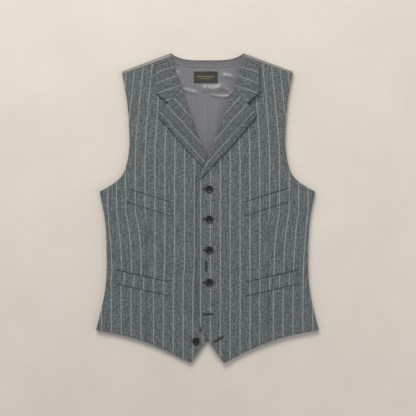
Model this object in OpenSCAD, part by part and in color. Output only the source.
// Six-button waistcoat with notched lapels, laid flat and face up.
// +X is towards the wearer's left side, +Y towards the neck, +Z up from the table.
// The origin is on the table, under the middle of the garment.

/* [Garment] */
// Length from the neck point to the front tips
body_length = 683; // [670:1:700]
// Width under the arms, laid flat
chest_width = 475; // [470:1:480]
// Width at the waist, laid flat
waist_width = 444; // [440:1:450]
// Width across the side corners of the hem
hem_width = 491; // [485:1:495]
// Width across the shoulder ends
shoulder_width = 377; // [374:1:380]
// Width between the two neck points
neck_width = 163; // [160:1:166]
// Height of the neck points above the shoulder ends
shoulder_drop = 40; // [38:1:42]
// Depth of the back neckline below the neck points
back_neck_drop = 16; // [14:1:18]

/* [Fronts] */
// Distance of each front edge past the centre line
front_overlap = 18.5; // [17:0.5:20]
// Height of the break point, where the lapels start
break_y = 66; // [62:1:70]
// Distance of each front tip from the centre line
tip_x = 36.5; // [34:0.5:38]
// Width of the satin yoke strip along each shoulder
yoke_width = 7; // [6:0.5:8]
// Distance from the centre line to the end of the left front's raised strip
lap_edge = 38; // [38:1:44]

/* [Layers] */
// Thickness of the satin of the back
satin_t = 0.8; // [0.6:0.1:0.8]
// Thickness of the linings of the fronts
lining_t = 0.6; // [0.4:0.1:0.6]
// Thickness of the canvas inside the fronts
canvas_t = 0.5; // [0.3:0.1:0.5]
// Thickness of the wool of the fronts
wool_t = 1.2; // [1:0.1:1.2]
// Thickness of the folded wool of the lapels and collar
lapel_t = 2.2; // [1.8:0.1:2.2]
// Thickness of the pocket welts
welt_t = 1.5; // [1.2:0.1:1.6]
// Free height between the back and the fronts
body_gap = 5.4; // [5.4:0.1:6]

/* [Buttons] */
// Diameter of a button
button_d = 16; // [15:0.5:16]
// Thickness of a button
button_t = 2.8; // [2.4:0.1:2.8]
// Distance of the button row from the centre line
button_x = 4; // [3:0.5:5]
// Length of a worked buttonhole
hole_length = 22; // [20:0.5:23]
// Length of the upright buttonhole for a watch chain
chain_hole_length = 22; // [20:0.5:24]

/* [Back strap] */
// Width of the strap webbing
strap_width = 22; // [18:1:24]
// Thickness of the strap
strap_t = 0.4; // [0.3:0.1:0.4]
// Height of the strap on the back
strap_y = -80; // [-90:1:-70]

/* [Hidden] */

wool_colour = [0.33, 0.36, 0.36];
satin_colour = [0.42, 0.42, 0.43];
canvas_colour = [0.75, 0.70, 0.60];
button_colour = [0.09, 0.08, 0.08];
thread_colour = [0.07, 0.07, 0.08];
brass_colour = [0.55, 0.50, 0.40];

big = 900;                      // longer than the garment
clear = 0.3;                    // gap between pieces that move apart
ply_gap = 0.1;                  // slack between a pocket bag and the layers beside it
stitch_t = 0.25;                // height of the stitching round a buttonhole
slot_w = 1.2;                   // width of a buttonhole's slit
rim_w = 1.4;                    // width of the stitching round it

// Heights of the layers, from the table up.
back_top = 2 * satin_t;
lining_z = back_top + body_gap;
bag_z = lining_z + lining_t + ply_gap;
bag_t = 0.9;
canvas_z = bag_z + bag_t + ply_gap;
wool_z = canvas_z + canvas_t;
wool_top = wool_z + wool_t;

// Heights of the left front's layers where it lies over the right front.
lap_lining_z = wool_top + clear;
lap_canvas_z = lap_lining_z + lining_t;
lap_wool_z = lap_canvas_z + canvas_t;
lap_top = lap_wool_z + wool_t;

// Each layer of the fronts: height, thickness, height in the overlap, start of its riser.
wool_layer = [wool_z, wool_t, lap_wool_z, lap_edge];
canvas_layer = [canvas_z, canvas_t, lap_canvas_z, lap_edge - canvas_t];
lining_layer = [lining_z, lining_t, lap_lining_z, lap_edge - canvas_t - lining_t];

// Corners of the left half of the outline.
top_y = body_length / 2;
neck_pt = [neck_width / 2, top_y];
shoulder_pt = [shoulder_width / 2, top_y - shoulder_drop];
underarm_pt = [chest_width / 2, top_y - 305];
waist_pt = [waist_width / 2, top_y - 435];
hem_pt = [hem_width / 2, top_y - 610];
tip_pt = [tip_x, -top_y];
break_pt = [-front_overlap, break_y];
cut_pt = [-front_overlap, -top_y + 84];

// A smooth curve through the points p, with n steps to a span and without its last point.
function spline_at(a, b, c, d, t) =
    0.5 * (2 * b + (c - a) * t + (2 * a - 5 * b + 4 * c - d) * t * t
    + (3 * b - a - 3 * c + d) * t * t * t);
function spline(p, n = 6) = [
    for (i = [0 : len(p) - 2], k = [0 : n - 1])
        spline_at(p[max(i - 1, 0)], p[i], p[i + 1], p[min(i + 2, len(p) - 1)], k / n)
];

// The armhole, from the underarm up to the shoulder end.
armhole = spline([
    underarm_pt, underarm_pt + [-35, 21], underarm_pt + [-55, 47], underarm_pt + [-65, 93],
    underarm_pt + [-65, 143], underarm_pt + [-62, 185], underarm_pt + [-58, 217], shoulder_pt
]);
// The side, from the hem corner up to the underarm.
side = spline([
    hem_pt, hem_pt + [-12.5, 50], waist_pt + [1.5, -70], waist_pt, waist_pt + [4, 70], underarm_pt
]);
// The hem of a front, from its tip out to the side corner.
front_hem = spline([tip_pt, tip_pt + [50, 26], tip_pt + [106, 49], tip_pt + [161, 64], hem_pt]);
// The hem of the back, from the centre out to the side corner.
back_hem = spline([[0, hem_pt[1] + 6], [hem_width / 4, hem_pt[1] + 5], hem_pt]);

// A point of the back neckline at distance x from the centre.
function back_neck(x) = [x, top_y - back_neck_drop * (1 - pow(x / neck_pt[0], 4))];
neck_steps = 12;
back_neckline = [for (i = [neck_steps : -1 : 0]) back_neck(neck_pt[0] * i / neck_steps)];

// The seam where the wool meets the satin yoke runs parallel to the shoulder.
shoulder_dir = (shoulder_pt - neck_pt) / norm(shoulder_pt - neck_pt);
roll_dir = (neck_pt - break_pt) / norm(neck_pt - break_pt);
yoke_neck = neck_pt - roll_dir * yoke_width * 1.15;
yoke_end = shoulder_pt + [shoulder_dir[1], -shoulder_dir[0]] * yoke_width;

front_outline = concat(front_hem, side, armhole, [yoke_end, yoke_neck, break_pt, cut_pt]);
back_outline = concat(back_hem, side, armhole, [shoulder_pt], back_neckline);

// The leaf of a lapel folds about a chord, from low on the lapel up to the shoulder seam.
chord_low = [16.5, top_y - 242];
chord_top = [113.5, top_y - 24.5];
chord_angle = atan2(chord_top[1] - chord_low[1], chord_top[0] - chord_low[0]);
gorge_pt = break_pt + roll_dir * 213.5;
notch_pt = [87, top_y - 110.5];
lapel_tip = [107.5, top_y - 140];
lapel_corner = [107.5, top_y - 130.5];
collar_tip = [112.5, top_y - 88.5];
lapel_low = break_pt + [3, -2];
lapel_belly = (lapel_low + lapel_tip) / 2 + [1.5, -1.3];
lapel_edge = spline([lapel_low, lapel_belly, lapel_tip]);
lapel_outline = concat([break_pt], lapel_edge, [lapel_tip, lapel_corner, notch_pt, gorge_pt]);
collar_outline = [gorge_pt, notch_pt, collar_tip, chord_top, yoke_neck];
stand_w = 1.5;                  // width of the fold that carries a lapel on its front

// The loose corner of the left front folds about this line, from the front edge to the hem.
fold_a = [-front_overlap, -185];
fold_b = [106, -309.5];
fold_angle = atan2(fold_b[1] - fold_a[1], fold_b[0] - fold_a[0]);

// Buttons, from the top down: the last one is undone and lies off the row.
button_pts = concat([for (y = [42, -24, -92, -163, -233]) [button_x, y]], [[-25, -292.5]]);
fastened = [0 : 3];
hidden = 4;
button_gap = 0.3;
shank_r = 1.1;
shank_clear = 0.35;
hole_shift = -0.7;
last_hole_pt = [25, -288.5];
last_hole_angle = 30;
chain_hole_pt = [-2.6, -127.6];

// The corner stands up in a low dome over the fifth button, which it hides.
dome_r = 10;
dome_h = 2.2;

// The welts: [inner x, outer x, inner low y, outer low y], all of one height.
chest_welt = [82, 178, -16.5, 14];
hip_welt = [83.5, 201, -193, -166];
welt_height = 29;
slit_rise = 6;                  // the slit lies this far above the foot of its welt
slit_w = 2;

// Back strap, buckle and the raised channel that holds them, from the table up.
channel = [280, 40, 3.5];
bar_w = 1.6;
bar_t = 0.8;
centre_bar_z = 0.1;
centre_bar_t = 0.7;
strap_z = centre_bar_z + centre_bar_t + clear;
web_t = 0.3;
web_z = strap_z + strap_t + clear;
frame_z = web_z + web_t + 0.1;
buckle_x = 10;
buckle_size = [24, 31];
strap_root_x = -128;
strap_tail_x = 34;
stitched_x = 132;

module mirrored_if(right) {
    if (right) mirror([1, 0, 0]) children();
    else children();
}

// A flat layer with the given outline.
module layer(outline, z, t) {
    translate([0, 0, z]) linear_extrude(t) polygon(outline);
}

// All that lies on the right of a line through the point p, at least gap away from it.
module beside_line(p, angle, gap) {
    translate([p[0], p[1], -1]) rotate(angle) translate([-big / 2, -big - gap, 0]) cube([big, big, 60]);
}
module corner_side(gap) { beside_line(fold_a, fold_angle, gap); }
module leaf_side(gap) { beside_line(chord_low, chord_angle, gap); }

// A slot with round ends, centred on the origin and lying along X.
module slot(length, width, height) {
    translate([(width - length) / 2, -width / 2, 0]) cube([length - width, width, height]);
    for (s = [-1, 1]) translate([s * (length - width) / 2, 0, 0])
        cylinder(d = width, h = height, $fn = 24);
}

// ---- Back ----

// Half of the back as a flat layer that rises over the strap, outside a space of size hollow.
module back_half(right, z, t, hollow) {
    mirrored_if(right) difference() {
        union() {
            layer(back_outline, z, t);
            translate([0, strap_y - hollow[1] / 2 - t, z])
                cube([hollow[0] / 2 + t, hollow[1] + 2 * t, hollow[2] - z + t]);
        }
        translate([-1, strap_y - hollow[1] / 2, z - 1])
            cube([hollow[0] / 2 + 1, hollow[1], hollow[2] - z + 1]);
    }
}

module back_outer(right) {
    color(satin_colour) back_half(right, 0, satin_t, channel);
}

module back_lining(right) {
    color(satin_colour) difference() {
        back_half(right, satin_t, satin_t, channel + [2 * satin_t, 2 * satin_t, satin_t]);
        neck_facing_half(right);
    }
}

// Half of the satin band that faces the back neckline.
module neck_facing_half(right) {
    depth = 16;
    lower_edge = [for (i = [0 : neck_steps]) back_neck(neck_pt[0] * i / neck_steps) - [0, depth]];
    mirrored_if(right) layer(concat(back_neckline, lower_edge), satin_t, satin_t);
}

module neck_facing() {
    color(satin_colour) for (right = [false, true]) neck_facing_half(right);
}

module neck_label() {
    size = [53, 26, 0.4];
    color(thread_colour) translate([-3.7 - size[0] / 2, 276, back_top]) cube(size);
}

// ---- Fronts ----

// A layer of a front: the left one is raised where it laps over the right one.
module front_layer(spec, right) {
    z = spec[0];
    t = spec[1];
    lap_z = spec[2];
    riser_x = spec[3];
    if (right) mirror([1, 0, 0]) layer(front_outline, z, t);
    else intersection() {
        layer(front_outline, z, lap_z + t - z);
        union() {
            translate([riser_x, -big / 2, z]) cube([big, big, t]);
            translate([riser_x, -big / 2, z]) cube([t, big, lap_z + t - z]);
            translate([riser_x + t - big, -big / 2, lap_z]) cube([big, big, t]);
        }
    }
}

// The slit of one pocket, from the height z up.
module pocket_slit(welt, z, right) {
    middle = [(welt[0] + welt[1]) / 2, (welt[2] + welt[3]) / 2 + slit_rise];
    length = welt[1] - welt[0] - 14;
    mirrored_if(right) translate([middle[0], middle[1], z])
        rotate(atan2(welt[3] - welt[2], welt[1] - welt[0]))
        translate([-length / 2, -slit_w / 2, 0]) cube([length, slit_w, 20]);
}

// All the buttonholes of the left front, with room for the shanks that pass through.
module buttonholes() {
    for (i = [0 : hidden]) translate([button_pts[i][0] + hole_shift, button_pts[i][1], 0])
        slot(hole_length, slot_w, 30);
    for (i = fastened) translate([button_pts[i][0], button_pts[i][1], 0])
        cylinder(r = shank_r + shank_clear, h = 30, $fn = 32);
    translate([last_hole_pt[0], last_hole_pt[1], 0]) rotate(last_hole_angle)
        slot(hole_length, slot_w, 30);
    translate([chain_hole_pt[0], chain_hole_pt[1], 0]) rotate(90) slot(chain_hole_length, slot_w, 30);
}

module left_front_layer(spec, slits = true) {
    difference() {
        front_layer(spec, false);
        corner_side(-clear / 2);
        buttonholes();
        if (slits) for (w = [chest_welt, hip_welt]) pocket_slit(w, 0, false);
    }
}

module right_front_layer(spec, slits = true) {
    difference() {
        front_layer(spec, true);
        if (slits) for (w = [chest_welt, hip_welt]) pocket_slit(w, 0, true);
    }
}

// The space of the dome over the hidden button.
module dome(r, z, h) {
    translate([button_pts[hidden][0], button_pts[hidden][1], z]) cylinder(r = r, h = h, $fn = 48);
}

// A layer of the loose corner, without the room for the hidden button.
module corner_layer(spec) {
    intersection() {
        front_layer(spec, false);
        corner_side(clear / 2);
    }
}

module left_front() { color(wool_colour) left_front_layer(wool_layer); }
module left_front_canvas() { color(canvas_colour) left_front_layer(canvas_layer); }
module left_front_lining() { color(satin_colour) left_front_layer(lining_layer, false); }
module right_front() { color(wool_colour) right_front_layer(wool_layer); }
module right_front_canvas() { color(canvas_colour) right_front_layer(canvas_layer); }
module right_front_lining() { color(satin_colour) right_front_layer(lining_layer, false); }

module left_corner() {
    color(wool_colour) difference() {
        union() {
            corner_layer(wool_layer);
            dome(dome_r, lap_wool_z, wool_t + dome_h);
        }
        dome(dome_r - wool_t, lap_wool_z - 1, dome_h + 1);
        buttonholes();
    }
}

module left_corner_inner(spec) {
    difference() {
        corner_layer(spec);
        dome(dome_r - wool_t, lap_lining_z - 1, 5);
        buttonholes();
    }
}

module left_corner_canvas() { color(canvas_colour) left_corner_inner(canvas_layer); }
module left_corner_lining() { color(satin_colour) left_corner_inner(lining_layer); }

// The strip that closes a side between the back and the front.
module side_seam(right) {
    seam_w = 6;
    outer = concat(side, [underarm_pt]);
    inner = [for (i = [len(outer) - 1 : -1 : 0]) outer[i] - [seam_w, 0]];
    color(satin_colour) mirrored_if(right)
        layer(concat(outer, inner), back_top, lining_z - back_top);
}

// The satin of the back, folded over the shoulder onto the front.
module shoulder_yoke(right) {
    outline = [neck_pt, yoke_neck, yoke_end, shoulder_pt];
    color(satin_colour) mirrored_if(right) layer(outline, back_top, wool_top - back_top);
}

// ---- Lapels and collar ----

// Height of the underside of the lapel and collar on one side.
function lapel_z(right) = (right ? wool_top : lap_top) + clear;

// The room over the left front's edge, which the right lapel keeps clear of.
module left_front_cover() {
    gap = 0.5;
    translate([-gap, 0, 0]) layer(
        [break_pt - [0, 400], break_pt, neck_pt, neck_pt + [300, 0], [neck_pt[0] + 300, -400]], 0, 60);
}

// The part of a lapel or collar that stays on its front, on a fold from seam a to seam b.
module roll_half(outline, a, b, right) {
    across = [roll_dir[1], -roll_dir[0]] * stand_w;
    color(wool_colour) difference() {
        mirrored_if(right) union() {
            difference() {
                layer(outline, lapel_z(right), lapel_t);
                leaf_side(-clear / 2);
            }
            layer([a, b, b + across, a + across], wool_top, lapel_z(right) - wool_top);
        }
        if (right) left_front_cover();
        else translate([lap_edge + wool_t - big, -big / 2, 0]) cube([big, big, lap_top]);
    }
}

// The part of a lapel or collar that folds up.
module leaf_half(outline, right) {
    color(wool_colour) mirrored_if(right) intersection() {
        layer(outline, lapel_z(right), lapel_t);
        leaf_side(clear / 2);
    }
}

// ---- Pockets ----

// A welt is sewn down at its foot and ends; its top edge stands open by a small gap.
module welt(w, right) {
    sewn = 4;
    mouth = 0.4;
    rise = [0, welt_height];
    low = [[w[0], w[2]], [w[1], w[3]]];
    inner = [low[0] + [sewn, sewn], low[1] + [-sewn, sewn]];
    color(wool_colour) mirrored_if(right) difference() {
        layer([low[0], low[1], low[1] + rise, low[0] + rise], wool_top, welt_t);
        layer([inner[0], inner[1], inner[1] + rise, inner[0] + rise], wool_top - 1, mouth + 1);
    }
}

// A flat pouch that hangs inside the front, open at the slit behind its welt.
module pocket_bag(w, depth, right) {
    wall = 0.3;
    seam = 2;
    low = [[w[0] + 4, w[2] - depth], [w[1] - 4, w[3] - depth]];
    high = [[w[1] - 4, w[3] + 12], [w[0] + 4, w[2] + 12]];
    color(satin_colour) difference() {
        mirrored_if(right) layer(concat(low, high), bag_z, bag_t);
        mirrored_if(right) layer(
            [low[0] + [seam, seam], low[1] + [-seam, seam], high[0] - [seam, seam], high[1] + [seam, -seam]],
            bag_z + wall, bag_t - 2 * wall);
        pocket_slit(w, bag_z + wall, right);
    }
}

// ---- Buttonholes ----

// The stitching round a slit that lies along X.
module stitched_rim(length) {
    difference() {
        slot(length + 2 * rim_w, slot_w + 2 * rim_w, stitch_t);
        translate([0, 0, -1]) slot(length, slot_w, 3);
    }
}

module buttonhole_stitching() {
    color(thread_colour) for (i = fastened) translate([button_pts[i][0], button_pts[i][1], lap_top])
        difference() {
            translate([hole_shift, 0, 0]) stitched_rim(hole_length);
            translate([0, 0, -1]) cylinder(r = shank_r + shank_clear, h = 3, $fn = 32);
        }
}

module corner_buttonhole_stitching() {
    color(thread_colour) {
        intersection() {
            translate([button_pts[hidden][0] + hole_shift, button_pts[hidden][1], lap_top + dome_h])
                stitched_rim(hole_length);
            dome(dome_r - 0.2, 0, 30);
        }
        translate([last_hole_pt[0], last_hole_pt[1], lap_top]) rotate(last_hole_angle)
            stitched_rim(hole_length);
    }
}

module chain_buttonhole_stitching() {
    color(thread_colour) translate([chain_hole_pt[0], chain_hole_pt[1], lap_top]) rotate(90)
        stitched_rim(chain_hole_length);
}

// ---- Buttons ----

// Underside of each button: four stand on the left front, two on the right front.
function button_z(i) = button_gap + (i < hidden ? lap_top + stitch_t : wool_top);

// Places of the four sewing holes, about the button's own axis.
sew_r = 0.6;
sew_pts = [for (a = [45 : 90 : 315]) 1.7 * [cos(a), sin(a)]];

// A turned four-hole button with a raised rim and a dished middle.
module button(i) {
    r = button_d / 2;
    profile = [
        [0, 0], [r - 2, 0], [r - 0.6, 0.5], [r, 1.3], [r - 0.3, 2.2], [r - 1, button_t],
        [r - 2, button_t - 0.2], [r - 3, button_t - 1], [0, button_t - 1.2]
    ];
    color(button_colour) translate([button_pts[i][0], button_pts[i][1], button_z(i)]) difference() {
        rotate_extrude($fn = 64) polygon(profile);
        for (p = sew_pts) translate([p[0], p[1], -1]) cylinder(r = sew_r, h = button_t + 2, $fn = 24);
    }
}

// The stitches of one button: they fill its holes and cross its top in two bars.
module button_thread(i) {
    fill_r = sew_r - 0.02;
    top = button_t - 1.1;
    reach = sew_pts[0][0];
    color(thread_colour) translate([button_pts[i][0], button_pts[i][1], button_z(i)]) {
        for (p = sew_pts) translate([p[0], p[1], 0]) cylinder(r = fill_r, h = top + 0.4, $fn = 24);
        for (s = [-1, 1]) translate([-reach, s * reach - fill_r, top + 0.05])
            cube([2 * reach, 2 * fill_r, 0.35]);
    }
}

// The wound thread stems between the right front and each button.
module button_shanks() {
    color(thread_colour) for (i = [0 : 5]) translate([button_pts[i][0], button_pts[i][1], wool_top])
        cylinder(r = shank_r, h = button_z(i) - wool_top - 0.02, $fn = 32);
}

// ---- Back strap ----

// A metal slide: a flat frame, and a centre bar that presses on the strap from outside.
module buckle_frame() {
    half = buckle_size / 2;
    leg_h = frame_z + bar_t - centre_bar_z;
    color(brass_colour) translate([buckle_x, strap_y, 0]) {
        for (s = [0, 1]) mirror([s, 0, 0]) translate([half[0] - bar_w, -half[1], frame_z])
            cube([bar_w, buckle_size[1], bar_t]);
        for (s = [0, 1]) mirror([0, s, 0]) translate([0, half[1] - bar_w, 0]) {
            translate([-half[0], 0, frame_z]) cube([buckle_size[0], bar_w, bar_t]);
            translate([-bar_w / 2, 0, centre_bar_z]) cube([bar_w, bar_w, leg_h]);
        }
        translate([-bar_w / 2, -half[1], centre_bar_z]) cube([bar_w, buckle_size[1], centre_bar_t]);
    }
}

// The strap sewn to the wearer's left side, looped round the buckle's side bar.
module strap_buckle_side() {
    loop_x = buckle_x + buckle_size[0] / 2 - bar_w - clear - web_t;
    tab = 10;
    inner_h = bar_t + 0.2;
    color(satin_colour) translate([loop_x, strap_y - strap_width / 2, web_z]) difference() {
        union() {
            cube([stitched_x - loop_x, strap_width, inner_h + 2 * web_t]);
            translate([stitched_x - loop_x - tab, 0, 0]) cube([tab, strap_width, channel[2] - web_z]);
        }
        translate([web_t, -1, web_t]) cube([bar_w + 2 * clear, strap_width + 2, inner_h]);
    }
}

// The strap whose free end passes through the buckle and slides to tighten the waist.
module strap_free_side() {
    point = 8;
    half = strap_width / 2;
    color(satin_colour) layer([
        [strap_root_x, strap_y - half], [strap_tail_x - point, strap_y - half],
        [strap_tail_x, strap_y], [strap_tail_x - point, strap_y + half], [strap_root_x, strap_y + half]
    ], strap_z, strap_t);
}

// The fold of the back that the free strap comes out of.
module strap_seam_cover() {
    bottom = 0.2;
    size = [32, strap_width + 5, channel[2] - bottom];
    room = [size[0], strap_width + 1, strap_t + 2 * clear];
    color(satin_colour) translate([strap_root_x - 8, strap_y, bottom]) difference() {
        translate([0, -size[1] / 2, 0]) cube(size);
        translate([5, -room[1] / 2, strap_z - clear - bottom]) cube(room);
    }
}

back_outer(false);  // back_outer_left
back_outer(true);  // back_outer_right
back_lining(false);  // back_lining_left
back_lining(true);  // back_lining_right
neck_facing();
neck_label();
left_front();
left_front_canvas();
left_front_lining();
right_front();
right_front_canvas();
right_front_lining();
left_corner();
left_corner_canvas();
left_corner_lining();
side_seam(false);  // left_side_seam
side_seam(true);  // right_side_seam
shoulder_yoke(false);  // left_shoulder_yoke
shoulder_yoke(true);  // right_shoulder_yoke
roll_half(lapel_outline, break_pt, gorge_pt, false);  // left_lapel_roll
roll_half(collar_outline, gorge_pt, yoke_neck, false);  // left_collar_roll
leaf_half(lapel_outline, false);  // left_lapel_leaf
leaf_half(collar_outline, false);  // left_collar_leaf
roll_half(lapel_outline, break_pt, gorge_pt, true);  // right_lapel_roll
roll_half(collar_outline, gorge_pt, yoke_neck, true);  // right_collar_roll
leaf_half(lapel_outline, true);  // right_lapel_leaf
leaf_half(collar_outline, true);  // right_collar_leaf
welt(chest_welt, false);  // left_chest_welt
welt(chest_welt, true);  // right_chest_welt
welt(hip_welt, false);  // left_hip_welt
welt(hip_welt, true);  // right_hip_welt
pocket_bag(chest_welt, 70, false);  // left_chest_pocket_bag
pocket_bag(chest_welt, 70, true);  // right_chest_pocket_bag
pocket_bag(hip_welt, 60, false);  // left_hip_pocket_bag
pocket_bag(hip_welt, 60, true);  // right_hip_pocket_bag
buttonhole_stitching();
corner_buttonhole_stitching();
chain_buttonhole_stitching();
button_shanks();
for (i = [0 : 5]) {
    button(i);
    button_thread(i);
}
buckle_frame();
strap_buckle_side();
strap_free_side();
strap_seam_cover();
